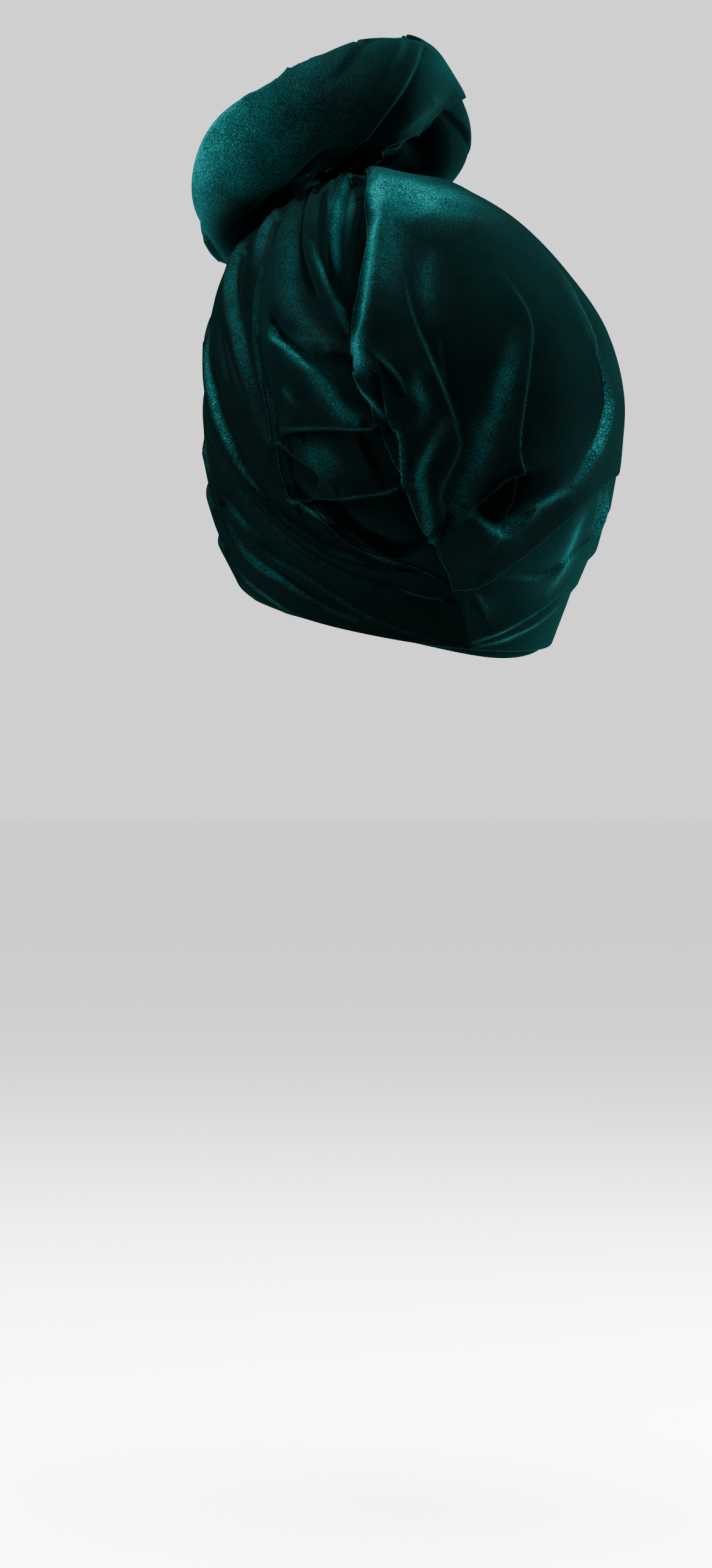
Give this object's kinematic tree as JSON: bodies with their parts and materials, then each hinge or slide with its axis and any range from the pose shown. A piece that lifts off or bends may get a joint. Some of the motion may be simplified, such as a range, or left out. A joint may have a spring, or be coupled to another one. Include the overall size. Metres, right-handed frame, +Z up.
{
  "type": "turban headwrap",
  "caption": "Soft velvet turban wrapped round a head-sized hollow, with pleated sides, a gathered back seam and a thick twisted roll bent into a ring as topknot.",
  "frame": {"origin": "middle of the head opening, where the turban sits on a head", "axes": "+Z up through the crown, -Y the way the face looks, +X the wearer's left"},
  "size_m": [0.191, 0.2633, 0.2988],
  "materials": {
    "roll_velvet": "dark teal stretch velvet, soft pile with a bright sheen where it turns away",
    "crown_velvet": "dark teal stretch velvet, soft pile with a bright sheen where it turns away",
    "ruched_velvet": "dark teal stretch velvet, gathered",
    "wrap_velvet": "dark teal stretch velvet, pleated",
    "nape_velvet": "dark teal stretch velvet",
    "band_velvet": "dark teal stretch velvet, rolled edge"
  },
  "bodies": {
    "root": {"topknot_roll": "roll_velvet", "crown_panel": "crown_velvet", "ruched_panel": "ruched_velvet", "left_wrap": "wrap_velvet", "nape_wrap": "nape_velvet", "hem_band": "band_velvet"}
  },
  "joints": []
}
